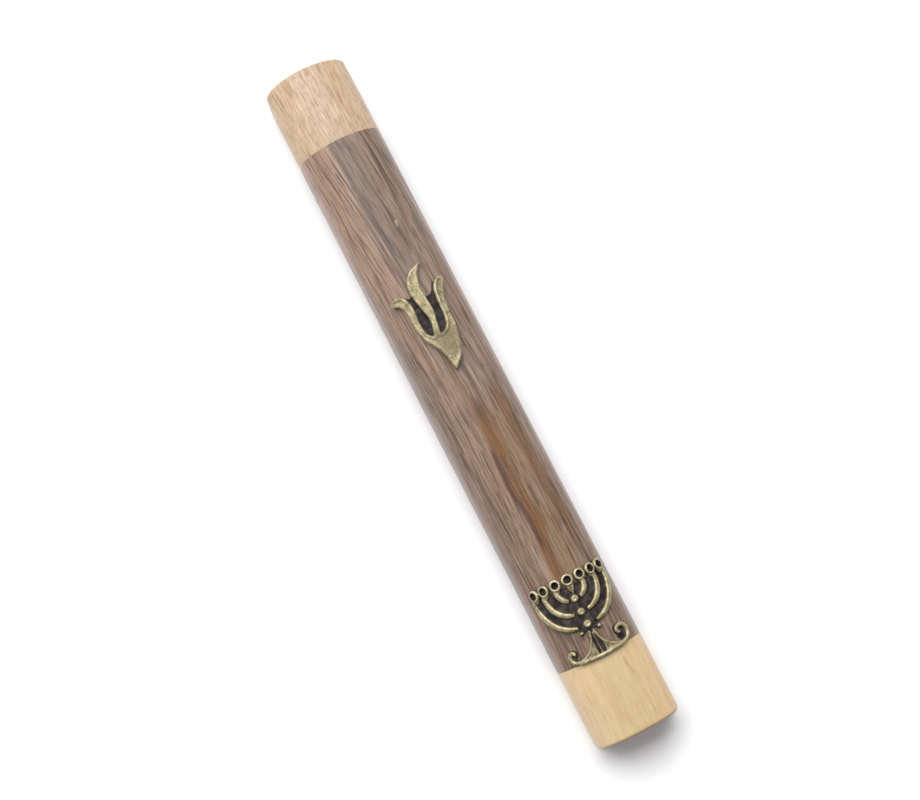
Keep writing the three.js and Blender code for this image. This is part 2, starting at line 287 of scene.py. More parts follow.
# Each gold band: its course, half width and strength.
GOLD_BANDS = (
    (GOLD, 1.3, 0.88),
    (SIDE_GOLD, 1.1, 0.5),
    (LEFT_THREAD, 0.45, 0.45),
    (RIGHT_THREAD, 0.45, 0.42),
)
# Each dark vein: its course, half width, strength and colour.
VEINS = (
    (SPEAR_LEFT, 0.45, 0.55, (68, 55, 50)),
    (SPEAR_VEIN, 0.24, 0.6, (68, 55, 50)),
    (SPEAR_TAIL, 0.24, 0.55, (68, 55, 50)),
    (DARK_VEIN, 0.4, 0.4, (68, 52, 54)),
    (GOLD_VEIN, 0.45, 0.7, (72, 36, 18)),
)


def walnut_figure(shade, wood, combed):
    """Lays over plain walnut the figure that the front of the case shows."""
    upper_left = shade.times(shade.step(shade.x, 0, -4), shade.step(shade.z, 10, 40))
    wood = shade.tint(wood, upper_left, 0.5, 166, 136, 116)
    wood = shade.tint(wood, shade.between(SPEAR_LEFT, SPEAR_RIGHT, 8, 0.7), 0.7, 106, 85, 68)
    wood = shade.tint(wood, shade.streak(TAN, 1.9, 8, 0.6), 0.45, 134, 106, 74)
    threads = shade.add(shade.step(combed, 0.36, 0.56), 0.75, clamp=True)
    for band, half_width, strength in GOLD_BANDS:
        gold = shade.times(shade.streak(band, half_width, 5, 0.6), threads)
        wood = shade.tint(wood, gold, strength, 108, 69, 27)
    comb = shade.times(shade.streak(DARK_COMB, 2.0, 8, 0.6), shade.step(combed, 0.5, 0.58))
    wood = shade.tint(wood, comb, 0.6, 78, 58, 48)
    wood = shade.tint(wood, shade.streak(PALE_NICK, 0.3, 0.3, 0.5), 0.5, 214, 198, 184)
    for vein, half_width, strength, colour in VEINS:
        wood = shade.tint(wood, shade.streak(vein, half_width, 4), strength, *colour)
    return wood


def walnut_material(name, seed, figured):
    shade = Grain(name, drift=0.035, bend=0.0006, wander=1.4, seed=seed)
    zones = shade.noise(shade.stretched(4.5, 4.5, 45, seed + 4), detail=1)
    broad = shade.noise(shade.along_rings(2.0, 30, 90, 1), detail=1)
    combed = shade.noise(shade.along_rings(0.4, 12, 24, 2), detail=1, rough=0.4)
    bundles = shade.noise(shade.along_rings(2.6, 18, 30, 5), detail=1)
    dashes = shade.noise(shade.along_rings(0.28, 3.0, 7.5, 6), detail=0)
    pricks = shade.noise(shade.along_rings(0.28, 1.2, 3.0, 3), detail=0)
    wood = shade.ramp(
        broad, (0.3, srgb(116, 98, 86)), (0.45, srgb(128, 108, 94)), (0.6, srgb(140, 118, 103))
    )
    wood = shade.tint(wood, shade.step(zones, 0.5, 0.64), 0.5, 130, 102, 85)
    wood = shade.tint(wood, shade.step(zones, 0.47, 0.34), 0.5, 122, 108, 100)
    wood = shade.tint(wood, shade.step(shade.z, 20, -50), 0.35, 108, 80, 56)
    depth = shade.add(shade.step(bundles, 0.4, 0.6), 0.5, clamp=True)
    wood = shade.tint(wood, shade.times(shade.step(combed, 0.53, 0.66), depth), 0.62, 72, 56, 48)
    wood = shade.tint(wood, shade.times(shade.step(combed, 0.46, 0.32), depth), 0.5, 162, 139, 122)
    wood = shade.tint(wood, shade.step(dashes, 0.42, 0.3), 0.42, 164, 140, 122)
    if figured:
        wood = walnut_figure(shade, wood, combed)
    pores = shade.step(dashes, 0.58, 0.7)
    wood = shade.tint(wood, pores, 0.62, 62, 48, 42)
    wood = shade.tint(wood, shade.step(pricks, 0.58, 0.75), 0.4, 66, 50, 44)
    # painted reflection: the edges of the crown are paled toward lilac, standing in for the varnish's
    # grazing reflection of the white surroundings
    edges = shade.step(shade.size_of(shade.x), 8.4, 9.8)
    edges = shade.times(edges, shade.step(shade.y, SPRING_Y + 2, SPRING_Y - 1))
    wood = shade.tint(wood, edges, 0.3, 178, 158, 154)
    shade.colour(wood)
    shade.rough(shade.add(shade.times(dashes, 0.2), 0.3))
    shade.bump(shade.less(shade.times(pricks, 0.4), pores), 0.03, 0.5)
    return shade.material


def beech_base(name, seed, tones, patches, patch_strength, crest_shade_colour):
    """Pale varnished beech, with soft patches of colour, and painted shade that darkens it a little
    along its crest.
    """
    shade = Grain(name, drift=0.02, wander=0.8, seed=seed)
    broad = shade.noise(shade.along_rings(1.6, 8, 20, 1), detail=1)
    patch = shade.noise(shade.stretched(4.5, 4.5, 8, seed + 2), detail=1)
    wood = shade.ramp(broad, (0.36, srgb(*tones[0])), (0.5, srgb(*tones[1])), (0.64, srgb(*tones[2])))
    wood = shade.tint(wood, shade.step(patch, 0.5, 0.66), patch_strength, *patches[0])
    wood = shade.tint(wood, shade.step(patch, 0.48, 0.32), patch_strength, *patches[1])
    # painted shade: the wood is darkened along the crest, where the light falls brightest, so that the
    # crown looks evenly lit
    crest = shade.step(shade.size_of(shade.less(shade.x, 0.8)), 8.0, 1.0)
    return shade, shade.tint(wood, crest, 0.4, *crest_shade_colour)


def flecked_beech():
    """Beech cut so that its rays show as many short streaks."""
    tones = ((185, 159, 131), (188, 162, 134), (191, 166, 138))
    patches = ((193, 162, 134), (190, 163, 129))
    # the last colour is the painted shade along the crest
    shade, wood = beech_base("beech_top", 41.0, tones, patches, 0.3, (158, 135, 111))
    streaks = shade.noise(shade.along_rings(0.32, 2.0, 3.6, 4), detail=0)
    fibre = shade.noise(shade.along_rings(0.26, 1.2, 1.3, 3), detail=0)
    dark = shade.step(streaks, 0.54, 0.74)
    wood = shade.tint(wood, dark, 0.52, 134, 104, 78)
    wood = shade.tint(wood, shade.step(streaks, 0.42, 0.26), 0.45, 212, 188, 158)
    wood = shade.tint(wood, shade.step(fibre, 0.56, 0.74), 0.4, 140, 110, 84)
    wood = shade.tint(wood, shade.step(shade.z, END_TOP - 0.9, END_TOP - 0.1), 0.25, 150, 118, 90)
    shade.colour(wood)
    shade.rough(shade.add(shade.times(fibre, 0.2), 0.34))
    shade.bump(shade.less(shade.times(fibre, 0.4), dark), 0.03, 0.6)
    return shade.material


# A hair crack in the lower block's front, as (z, x) places from its lower end.
HAIR_CRACK = ((-70.2, 4.1), (-69, 3.9), (-67.8, 3.7), (-67, 3.7))


def smooth_beech():
    """Yellower beech with hardly a fleck."""
    tones = ((194, 169, 127), (199, 175, 134), (204, 181, 142))
    patches = ((212, 180, 137), (206, 187, 140))
    # the last colour is the painted shade along the crest
    shade, wood = beech_base("beech_bottom", 56.0, tones, patches, 0.4, (172, 150, 112))
    wood = shade.tint(wood, shade.step(shade.x, 1.0, 8.0), 0.35, 206, 172, 130)
    wood = shade.tint(wood, shade.step(shade.x, -4.0, -10.0), 0.5, 206, 178, 146)
    streaks = shade.noise(shade.along_rings(0.5, 1.6, 3.4, 4), detail=1)
    wood = shade.tint(wood, shade.step(streaks, 0.54, 0.72), 0.2, 164, 128, 84)
    wood = shade.tint(wood, shade.step(streaks, 0.44, 0.3), 0.2, 222, 200, 156)
    wood = shade.tint(wood, shade.streak(HAIR_CRACK, 0.24, 0.8, 0.9), 0.35, 128, 98, 62)
    # painted shade: the rounded lower rim, which faces away from the light, darkened to a reddish
    # brown
    wood = shade.tint(wood, shade.step(shade.z, 0.6 - END_TOP, 0.15 - END_TOP), 0.85, 122, 80, 62)
    shade.colour(wood)
    shade.rough(shade.add(shade.times(streaks, 0.2), 0.3))
    shade.bump(streaks, 0.02, 0.4)
    return shade.material


walnut = walnut_material("walnut", 3.1, figured=True)
cover_walnut = walnut_material("cover_walnut", 17.4, figured=False)
beech_top = flecked_beech()
beech_bottom = smooth_beech()


def dowel_material():
    shade = Shade("bare_beech", Roughness=0.7)
    fine = shade.noise(shade.stretched(0.3, 0.3, 8, 5.0))
    shade.colour(shade.ramp(fine, (0.3, srgb(196, 160, 112)), (0.7, srgb(222, 194, 150))))
    shade.bump(fine, 0.03, 0.5)
    return shade.material


def brass_material():
    """Cast brass, matt and pitted, with black patina wherever the casting's own relief is low."""
    shade = Shade("antique_brass", Specular_IOR_Level=0.2)
    pits = shade.noise(shade.stretched(0.3, 0.3, 0.3), rough=0.6)
    cloud = shade.noise(shade.stretched(1.3, 1.3, 1.3, 4.0))
    patchy = shade.add(shade.times(pits, 0.3), shade.times(cloud, 0.3))
    worn = shade.add(shade.attribute("relief"), shade.less(patchy, 0.3))
    bright = shade.step(worn, 0.4, 0.55)
    metal = shade.ramp(
        cloud, (0.36, srgb(132, 121, 92)), (0.5, srgb(150, 138, 107)), (0.64, srgb(164, 153, 122))
    )
    metal = shade.mix(shade.times(shade.step(pits, 0.52, 0.62), 0.6), metal, srgb(92, 82, 62))
    metal = shade.mix(shade.times(shade.step(pits, 0.46, 0.38), 0.5), metal, srgb(192, 182, 148))
    polish = shade.times(shade.attribute("rim"), shade.add(shade.step(cloud, 0.38, 0.6), 0.35))
    metal = shade.mix(shade.times(polish, 0.5), metal, srgb(204, 194, 160))
    metal = shade.mix(shade.times(shade.attribute("tarnish"), 0.7), metal, srgb(100, 90, 71))
    patina = shade.ramp(
        cloud, (0.36, srgb(30, 22, 22)), (0.5, srgb(44, 37, 36)), (0.66, srgb(66, 62, 56))
    )
    shade.colour(shade.mix(bright, patina, metal))
    shade.feed(shade.shader.inputs["Metallic"], shade.times(bright, 0.6))
    shade.rough(shade.less(0.66, shade.times(bright, 0.18)))
    shade.bump(shade.add(pits, shade.times(cloud, 0.6)), 0.07, 0.6)
    return shade.material


def parchment_material():
    shade = Shade("parchment", Roughness=0.75)
    blotch = shade.noise(shade.stretched(9, 9, 14, 2.0), detail=4)
    fibre = shade.noise(shade.stretched(0.3, 0.3, 0.8, 6.0))
    shade.colour(shade.ramp(blotch, (0.3, srgb(214, 196, 156)), (0.7, srgb(238, 226, 198))))
    shade.bump(fibre, 0.03, 0.4)
    return shade.material


def foam_material():
    shade = Shade("adhesive_foam", Roughness=0.85)
    inputs = {"Vector": shade.stretched(0.35, 0.35, 0.35), "Scale": 1.0}
    cells = shade.node("ShaderNodeTexVoronoi", inputs).outputs["Distance"]
    shade.colour(shade.ramp(cells, (0.0, srgb(212, 212, 206)), (0.6, srgb(236, 236, 231))))
    shade.bump(cells, 0.05, 0.5)
    return shade.material


# ---- mesh helpers -------------------------------------------------------------------------------

def turn_faces_out(mesh):
    made = bmesh.new()
    made.from_mesh(mesh)
    bmesh.ops.recalc_face_normals(made, faces=made.faces)
    made.to_mesh(mesh)
    made.free()


def piece_from(name, points_mm, faces, material, sharp_degrees=30):
    """A smooth-shaded object of points in millimetres, with edges over sharp_degrees kept crisp."""
    mesh = bpy.data.meshes.new(name)
    mesh.from_pydata([tuple(np.asarray(p, float) * MM) for p in points_mm], [], faces)
    mesh.validate()
    turn_faces_out(mesh)
    mesh.materials.append(material)
    mesh.shade_smooth()
    mesh.set_sharp_from_angle(angle=math.radians(sharp_degrees))
    piece = bpy.data.objects.new(name, mesh)
    bpy.context.scene.collection.objects.link(piece)
    return piece


def loft(rings):
    """Points and faces of a closed body through rings of equal length, capped at both ends."""
    count = len(rings[0])
    points = [p for ring in rings for p in ring]
    faces = []
    for k in range(len(rings) - 1):
        for i in range(count):
            j = (i + 1) % count
            faces.append((k * count + i, k * count + j, (k + 1) * count + j, (k + 1) * count + i))
    faces.append(tuple(reversed(range(count))))
    faces.append(tuple(range((len(rings) - 1) * count, len(rings) * count)))
    return points, faces


def settle(piece, sharp_degrees=30):
    """Applies the piece's modifiers."""
    graph = bpy.context.evaluated_depsgraph_get()
    done = bpy.data.meshes.new_from_object(piece.evaluated_get(graph))
    piece.modifiers.clear()
    piece.data = done
    done.shade_smooth()
    done.set_sharp_from_angle(angle=math.radians(sharp_degrees))


def cut(piece, cutters):
    """Takes the cutters out of the piece for good, and removes them."""
    for cutter in cutters:
        modifier = piece.modifiers.new("cut", "BOOLEAN")
        modifier.operation = "DIFFERENCE"
        modifier.solver = "EXACT"
        modifier.object = cutter
    settle(piece)
    for cutter in cutters:
        bpy.data.objects.remove(cutter)


def place(piece, body, node):
    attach(piece, body)
    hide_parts(node)


def quarter(steps):
    """Angles of a quarter turn, with both its ends."""
    return [math.pi / 2 * i / steps for i in range(steps + 1)]


def full_turn(steps):
    return [2 * math.pi * i / steps for i in range(steps)]


# ---- the crown ----------------------------------------------------------------------------------

CROWN_STEPS = 96


def crown_point(angle, height=0.0):
    """(x, y) on the crown at a parameter angle, 0 at the crest, raised along the surface's normal."""
    normal = np.array([CROWN * math.sin(angle), -HALF_WIDTH * math.cos(angle)])
    normal /= np.linalg.norm(normal)
    spot = np.array([HALF_WIDTH * math.sin(angle), SPRING_Y - CROWN * math.cos(angle)])
    return spot + normal * height


def crown_arc(angles):
    """Distance round the crown from its crest to each parameter angle."""
    line = np.array([crown_point(a) for a in angles])
    arc = np.concatenate([[0], np.cumsum(np.hypot(*np.diff(line, axis=0).T))])
    return arc - arc[len(arc) // 2]


ANGLES = np.linspace(-math.pi / 2, math.pi / 2, 721)
ARC = crown_arc(ANGLES)


def around(x):
    """Distance round the crown from the crest to the place that far to the side in front view."""
    return float(np.interp(math.asin(x / HALF_WIDTH), ANGLES, ARC))


def section(inset=0.0):
    """The case's outline in (x, y), moved inwards by inset."""
    angles = [math.pi * i / CROWN_STEPS - math.pi / 2 for i in range(CROWN_STEPS + 1)]
    crown = [tuple(crown_point(a, -inset)) for a in angles]
    side, back = HALF_WIDTH - inset - BACK_ROUND, BACK_Y - inset - BACK_ROUND
    right = [(side + BACK_ROUND * math.cos(a), back + BACK_ROUND * math.sin(a)) for a in quarter(5)]
    left = [(-x, y) for x, y in reversed(right)]
    return crown + right + left


def case_ring(z, inset=0.0):
    return [(x, y, z) for x, y in section(inset)]


# ---- walnut body, with the channel and the cover's rebate routed in its back --------------------

def rounded_rectangle(half_x, half_z, radius, steps=8):
    """Outline in (x, z), anticlockwise."""
    points = []
    for side_x, side_z, turn in ((1, 1, 0), (-1, 1, 1), (-1, -1, 2), (1, -1, 3)):
        middle_x, middle_z = side_x * (half_x - radius), side_z * (half_z - radius)
        for a in quarter(steps):
            angle = a + turn * math.pi / 2
            points.append((middle_x + radius * math.cos(angle), middle_z + radius * math.sin(angle)))
    return points


COVER_LOW, COVER_HIGH = box_mm("back_cover")
CLEARANCE = 0.15
CHANNEL_RADIUS = 5.2
CHANNEL_HALF = 54.0
COVER_CORNER = 3.0
SCROLL_LOW, SCROLL_HIGH = box_mm("scroll")
CHANNEL_Y = (SCROLL_LOW.y + SCROLL_HIGH.y) / 2


def walnut_body():
    rings = [case_ring(z) for z in np.linspace(-SEAM, SEAM, 17)]
    piece = piece_from("walnut_body_wood", *loft(rings), walnut)
    outside = BACK_Y + 2  # both cutters reach past the back
    floor = [
        (CHANNEL_RADIUS * math.cos(a), CHANNEL_Y + CHANNEL_RADIUS * math.sin(a))
        for a in np.linspace(math.pi, 2 * math.pi, 33)
    ]
    channel = [*floor, (CHANNEL_RADIUS, outside), (-CHANNEL_RADIUS, outside)]
    channel_rings = [[(x, y, z) for x, y in channel] for z in (-CHANNEL_HALF, CHANNEL_HALF)]
    rebate = rounded_rectangle(COVER_HIGH.x + CLEARANCE, COVER_HIGH.z + CLEARANCE, COVER_CORNER)
    rebate_rings = [[(x, y, z) for x, z in rebate] for y in (COVER_LOW.y - CLEARANCE, outside)]
    cutters = [
        piece_from("channel_cutter", *loft(channel_rings), walnut),
        piece_from("rebate_cutter", *loft(rebate_rings), walnut),
    ]
    cut(piece, cutters)
    place(piece, "case", "walnut_body")


# ---- beech end blocks, glued flush, their outer edges rounded over ------------------------------

def end_block(name, node, side, material):
    low, high = box_mm(node)
    outer = high.z if side > 0 else low.z
    rings = [case_ring(side * SEAM)]
    for a in quarter(6):
        inset = END_ROUND * (1 - math.cos(a))
        rings.append(case_ring(outer - side * END_ROUND * (1 - math.sin(a)), inset))
    piece = piece_from(name, *loft(rings), material)
    place(piece, "case", node)


# ---- back cover ---------------------------------------------------------------------------------

NOTCH_RADIUS = 2.5
COVER_EASE = 0.25


def cover_outline(inset):
    """The slip's outline with its thumbnail notch in the lower end, moved inwards by inset."""
    corner = COVER_CORNER - CLEARANCE - inset
    outline = rounded_rectangle(COVER_HIGH.x - inset, COVER_HIGH.z - inset, corner)
    reach = NOTCH_RADIUS + inset
    foot = COVER_LOW.z + inset
    drop = math.asin(inset / reach)
    turns = np.linspace(math.pi - drop, drop, 17)
    notch = [(reach * math.cos(a), COVER_LOW.z + reach * math.sin(a)) for a in turns]
    after_left = [i for i, (x, z) in enumerate(outline) if z <= foot + 1e-6 and x < 0][-1] + 1
    return outline[:after_left] + notch + outline[after_left:]


def back_cover():
    rings = []
    for y, toward in ((COVER_LOW.y, 1), (COVER_HIGH.y, -1)):
        turns = quarter(3) if toward > 0 else list(reversed(quarter(3)))
        for a in turns:
            inset = COVER_EASE * (1 - math.sin(a))
            level = y + toward * COVER_EASE * (1 - math.cos(a))
            rings.append([(x, level, z) for x, z in cover_outline(inset)])
    piece = piece_from("back_cover_slip", *loft(rings), cover_walnut)
    place(piece, "cover", "back_cover")


# ---- the rolled scroll --------------------------------------------------------------------------

SCROLL_TURNS = 5
SCROLL_LEVELS = 9
STEPS_PER_TURN = 48
SCROLL_CORE = 2.4  # radius of the hole down the middle
SHEET_THICKNESS = 0.3
EDGE_STRAY = 0.25


def scroll():
    """One sheet rolled about five turns, its edges a little out of step at both ends."""
    outer = (SCROLL_HIGH.x - SCROLL_LOW.x) / 2
    pitch = (outer - SCROLL_CORE - SHEET_THICKNESS) / SCROLL_TURNS
    steps = SCROLL_TURNS * STEPS_PER_TURN
    points, faces = [], []
    for k in range(SCROLL_LEVELS):
        rise = k / (SCROLL_LEVELS - 1)
        for i in range(steps + 1):
            turn = i / STEPS_PER_TURN
            angle = 2 * math.pi * turn + math.pi / 3
            stray = EDGE_STRAY * (1 + math.sin(2.1 * turn + 0.6))
            z = SCROLL_LOW.z + stray + rise * (SCROLL_HIGH.z - SCROLL_LOW.z - 2 * stray)
            inner = SCROLL_CORE + pitch * turn
            for r in (inner, inner + SHEET_THICKNESS):
                points.append((r * math.cos(angle), CHANNEL_Y + r * math.sin(angle), z))
    row = 2 * (steps + 1)
    for k in range(SCROLL_LEVELS - 1):
        a, b = k * row, (k + 1) * row
        for i in range(0, 2 * steps, 2):
            faces.append((a + i, a + i + 2, b + i + 2, b + i))
            faces.append((a + i + 3, a + i + 1, b + i + 1, b + i + 3))
        faces.append((a, b, b + 1, a + 1))
        faces.append((a + row - 1, b + row - 1, b + row - 2, a + row - 2))
    top = (SCROLL_LEVELS - 1) * row
    for i in range(0, 2 * steps, 2):
        faces.append((i, i + 1, i + 3, i + 2))
        faces.append((top + i + 2, top + i + 3, top + i + 1, top + i))
    piece = piece_from("rolled_scroll", points, faces, parchment_material())
    place(piece, "scroll", "scroll")


# ---- castings: modelled flat in (round the crown, up, out), fused, then bent round the crown ----

VOXEL = 0.1
SUNK = 0.2  # how far rounded shells start below their base, so that they fuse with their neighbours


class Flat:
    """Closed shells in millimetres: u round the crown, z up, h out from the wood."""

    def __init__(self):
        self.mesh = bmesh.new()

    def rings(self, rings, close_ends=True):
        rows = [[self.mesh.verts.new((u, z, h)) for u, z, h in ring] for ring in rings]
        count = len(rows[0])
        for lower, upper in zip(rows, rows[1:]):
            for i in range(count):
                j = (i + 1) % count
                self.mesh.faces.new((lower[i], lower[j], upper[j], upper[i]))
        if close_ends:
            self.mesh.faces.new(list(reversed(rows[0])))
            self.mesh.faces.new(rows[-1])

    def slab(self, outline, low, high):
        self.rings([[(u, z, h) for u, z in outline] for h in (low, high)])

    def ridge(self, path, half_widths, tops, sides=10):
        """A rounded ridge along a path in (u, z), its size given per point."""
        path = [np.array(p, float) for p in path]
        rings = []
        for i, point in enumerate(path):
            along = path[min(i + 1, len(path) - 1)] - path[max(i - 1, 0)]
            along /= np.linalg.norm(along)
            across = np.array([-along[1], along[0]])
            across *= half_widths[i]
            turns = np.linspace(0, math.pi, sides + 1)
            ring = [(*(point + across * math.cos(a)), tops[i] * math.sin(a) ** 0.4) for a in turns]
            rings.append(ring + [(*(point + across * side), -SUNK) for side in (-1, 1)])
        self.rings(rings)

    def dome(self, u, z, radius, base, top, dimple=0.0):
        rings = []
        for i in range(9):
            a = math.pi / 2 * i / 8
            r = radius * math.cos(a) + (0.02 if i == 8 else 0.0)
            h = base + (top - base) * math.sin(a)
            if dimple:
                h -= dimple * math.exp(-((r / (0.45 * radius)) ** 2))
            rings.append(circle(u, z, r, h))
        self.rings([circle(u, z, radius, base - SUNK)] + rings)

    def torus(self, u, z, radius_u, radius_z, tube, middle):
        """An upright oval ring of round wire, its middle line at height middle."""
        rings = []
        for a in full_turn(24):
            ring = []
            for b in np.linspace(0, 2 * math.pi, 12, endpoint=False):
                out = tube * math.cos(b)
                ring.append(
                    (
                        u + math.cos(a) * (radius_u + out),
                        z + math.sin(a) * (radius_z + out),
                        middle + tube * math.sin(b),
                    )
                )
            rings.append(ring)
        self.rings(rings + rings[:1], close_ends=False)

    def fused(self, name):
        """All shells as one skin."""
        bmesh.ops.remove_doubles(self.mesh, verts=self.mesh.verts, dist=1e-5)
        bmesh.ops.recalc_face_normals(self.mesh, faces=self.mesh.faces)
        mesh = bpy.data.meshes.new(name)
        self.mesh.to_mesh(mesh)
        self.mesh.free()
        piece = bpy.data.objects.new(name, mesh)
        bpy.context.scene.collection.objects.link(piece)
        remesh = piece.modifiers.new("fuse", "REMESH")
        remesh.mode = "VOXEL"
        remesh.voxel_size = VOXEL
        smooth = piece.modifiers.new("soften", "SMOOTH")
        smooth.factor = 0.5
        smooth.iterations = 3
        settle(piece, 80)
        return piece


def circle(u, z, radius, h, steps=24):
    return [(u + radius * math.cos(a), z + radius * math.sin(a), h) for a in full_turn(steps)]


def disc(u, z, radius):
    """A round outline for a slab."""
    return [point[:2] for point in circle(u, z, radius, 0)]


def spline(points, steps=8):
    """A smooth line through the points, Catmull-Rom."""
    p = [np.array(q, float) for q in points]
    p = [2 * p[0] - p[1], *p, 2 * p[-1] - p[-2]]
    line = []
    for a, b, c, d in zip(p, p[1:], p[2:], p[3:]):
        square, cube = 2 * a - 5 * b + 4 * c - d, 3 * b - a - 3 * c + d
        for t in np.arange(steps) / steps:
            line.append(0.5 * (2 * b + (c - a) * t + square * t**2 + cube * t**3))
    line.append(p[-2])
    return line


def points_of(piece):
    """The (u, z, h) of every point of a flat casting."""
    points = np.zeros(len(piece.data.vertices) * 3, np.float32)
    piece.data.vertices.foreach_get("co", points)
    return points.reshape(-1, 3).astype(float)


def move_points(piece, points):
    piece.data.vertices.foreach_set("co", points.astype(np.float32).ravel())


def bend_and_place(piece, z_mm, marks, material, node):
    """Bends a flat casting round the crown, and marks each point's relief, bright rim and tarnish."""
    u, z, h = points_of(piece).T
    angle = np.interp(u, ARC, ANGLES)
    nx, ny = CROWN * np.sin(angle), -HALF_WIDTH * np.cos(angle)
    size = np.hypot(nx, ny)
    lift = h + GLUE_LINE
    x = HALF_WIDTH * np.sin(angle) + nx / size * lift
    y = SPRING_Y - CROWN * np.cos(angle) + ny / size * lift
    move_points(piece, np.stack([x, y, z + z_mm], 1) * MM)
    for mark, values in zip(("relief", "rim", "tarnish"), marks):
        attribute = piece.data.attributes.new(mark, "FLOAT", "POINT")
        values = np.broadcast_to(values, len(u))
        attribute.data.foreach_set("value", np.clip(values, 0, 1).astype(np.float32))
    turn_faces_out(piece.data)
    piece.data.materials.append(material)
    place(piece, "case", node)


def distance_to(outline, u, z):
    """Distance from each (u, z) to a closed outline."""
    ends = np.array(outline)
    starts = np.roll(ends, 1, axis=0)
    best = np.full(len(u), 1e9)
    for (ax, az), (bx, bz) in zip(starts, ends):
        dx, dz = bx - ax, bz - az
        length = max(dx * dx + dz * dz, 1e-12)
        t = np.clip(((u - ax) * dx + (z - az) * dz) / length, 0, 1)
        best = np.minimum(best, np.hypot(u - ax - t * dx, z - az - t * dz))
    return best


def smooth_step(value, low, high):
    t = np.clip((value - low) / (high - low), 0, 1)
    return t * t * (3 - 2 * t)


# Each stretch of the shin runs smoothly between two sharp corners, clockwise from its lower tip.
# The castings' outlines are (x, z) places as seen from the front, from the casting's own middle.
SHIN_STRETCHES = (
    ((0.1, -12.7), (-0.4, -10.6), (-1.1, -7.6), (-2.3, -5.2), (-3.1, -3.3), (-3.7, -0.2)),
    ((-3.7, -0.2), (-3.8, 3.4), (-4.4, 5.2), (-5.6, 6.1)),
    ((-5.6, 6.1), (-5.9, 6.5), (-5.7, 6.9)),
    (
        (-5.7, 6.9), (-4.6, 7.6), (-3.3, 7.2), (-2.4, 5.6),
        (-2.1, 3), (-2.3, -0.4), (-2, -2.6), (-1, -3.9),
    ),
    ((-1, -3.9), (-0.3, -0.6), (-0.8, 2.5), (-1.4, 6.1), (-1.2, 8.9), (0.2, 11.3), (3.4, 12.8)),
    ((3.4, 12.8), (2.3, 11.3), (1.5, 9.4), (1.1, 7), (1.3, 3.8), (1.4, 1.2), (1, -1), (0.6, -4)),
    ((0.6, -4), (2, -3.1), (2.7, -0.8), (2.9, 2.4), (3.2, 5.2), (3.9, 7.1), (5, 7.9), (5.8, 7.8)),
    ((5.8, 7.8), (6.1, 7.5), (6, 7)),
    (
        (6, 7), (5.2, 5.2), (4.6, 3.2), (4.2, 0), (4.1, -3.5),
        (3.4, -7.1), (2.4, -10), (0.1, -12.7),
    ),
)
# The thin metal left between its arms.
SHIN_WEBS = (
    (
        (-2.9, 6.9), (-2.2, 6.2), (-1.6, 6.3), (-1.1, 7.6),
        (-0.1, -0.6), (-0.3, -4), (-1.4, -4.6), (-2.6, -2.6),
    ),
    (
        (0.9, 6), (1.6, 5), (2.4, 5.1), (3.1, 5.9), (4, 7.6),
        (3.2, -0.6), (2.2, -3.6), (1.2, -4.8), (0.4, -4),
    ),
)
SHIN_TOP = 1.5
SHIN_WEB_TOP = 0.4
SHIN_DISH = 0.08  # how far its faces lie below their rims
SHIN_EDGE_FALL = 0.3
SHIN_ROOT = (0.9, -6.0)  # where its three arms meet


def shin_emblem(material):
    outline = []
    for stretch in SHIN_STRETCHES:
        outline += [(around(x), z) for x, z in spline(stretch)[:-1]]
    flat = Flat()
    flat.slab(outline, 0.0, SHIN_TOP)
    for web in SHIN_WEBS:
        flat.slab([(around(x), z) for x, z in web], 0.0, SHIN_WEB_TOP)
    piece = flat.fused("shin_casting")
    points = points_of(piece)
    u, z, height = points.T
    inward = distance_to(outline, u, z)
    top = smooth_step(height, 0.5 * SHIN_TOP, 0.9 * SHIN_TOP)
    edge_fall = SHIN_EDGE_FALL * (1 - smooth_step(inward, 0.0, 0.3))
    height -= top * (edge_fall + SHIN_DISH * smooth_step(inward, 0.3, 1.1))
    move_points(piece, points)
    rim = top * (1 - smooth_step(inward, 0.25, 0.6))
    from_root = np.hypot((u - SHIN_ROOT[0]) / 2.8, (z - SHIN_ROOT[1]) / 3.8)
    tarnish = 1 - 0.75 * smooth_step(from_root, 0.4, 1.4)
    bend_and_place(piece, SHIN_Z, (height / SHIN_TOP, rim, tarnish), material, "shin_emblem")


PLATE_TOP = 0.4
FAN_TOP = 0.78
CUP_TOP = 1.5
# For each branch: its reach to the left and right, its drop, its two cups' x, and where it stops
# short of the stem.
BRANCHES = (
    (3.0, 3.2, 3.65, (-2.4, 3.0), 1.3),
    (5.6, 5.8, 6.7, (-4.9, 5.4), 1.5),
    (7.7, 8.0, 9.7, (-6.9, 7.3), 2.1),
)
BRANCH_FULLNESS = 2.4
MIDDLE_CUP = 0.3
CUP_Z = 0.9
CUP_TUBE = 0.32
CUP_TALL = 1.0
CUP_LEVELS = (0.35, 0.75, 1.15)
BOSSES = (-3.4, -6.5, -9.4)
FOOT_EDGE = ((0.45, -10.9), (0.65, -12), (0.95, -13.1), (1.5, -14.2), (2.4, -15.2), (3.7, -15.9))
LEFT_CURL = (
    (-4.8, -16.1), (-5.7, -15.9), (-6.2, -15.2), (-6.2, -14.3),
    (-5.8, -13.7), (-5.3, -13.7), (-5.1, -14.2),
)
RIGHT_CURL = (
    (4.9, -16.3), (6.1, -15.8), (6.7, -14.7), (6.6, -13.5),
    (5.9, -12.7), (5, -12.8), (4.6, -13.5), (5, -14.1),
)
LEFT_FAN = ((-0.7, -12.2), (-0.55, -16.5), (-4.4, -16.4), (-2.4, -15.3), (-1.5, -14.2), (-1, -13.1))
RIGHT_FAN = ((0.95, -13.2), (1.5, -14.2), (2.4, -15.3), (4.4, -16.4), (1.05, -16.5), (1.15, -15))
